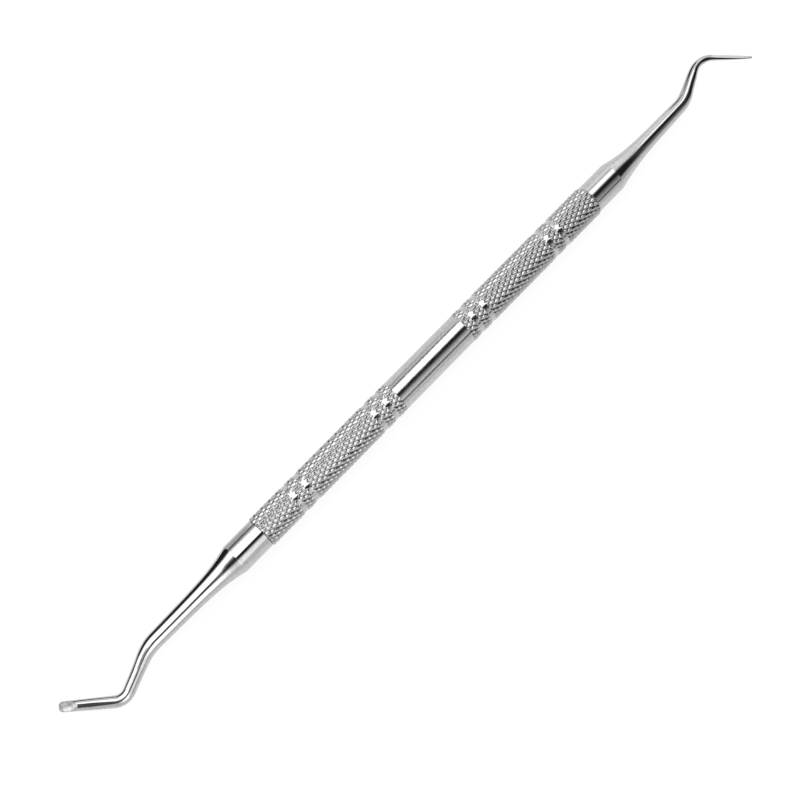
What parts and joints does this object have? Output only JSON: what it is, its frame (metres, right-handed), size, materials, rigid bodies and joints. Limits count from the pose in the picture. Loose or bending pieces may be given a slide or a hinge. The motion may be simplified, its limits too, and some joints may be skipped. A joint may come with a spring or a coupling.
{
  "type": "hand scaler",
  "caption": "Double-ended steel hand scaler: a round knurled handle with a rounded-toe curette blade on one bent shank and a pointed sickle blade on the other.",
  "frame": {"origin": "on the handle's axis, at the centre of its plain middle, which is also the centre of the part's box to within half a millimetre", "axes": "+X along the handle towards the sickle blade; +Z square to the plane of the bends, out of the curette's ground face; +Y completes the frame"},
  "size_m": [0.1733, 0.0084, 0.0064],
  "materials": {
    "satin_steel": "satin, knurled",
    "polished_steel": "polished"
  },
  "bodies": {
    "root": {"handle_tube": "satin_steel", "curette_end": "polished_steel", "sickle_end": "polished_steel"}
  },
  "joints": []
}
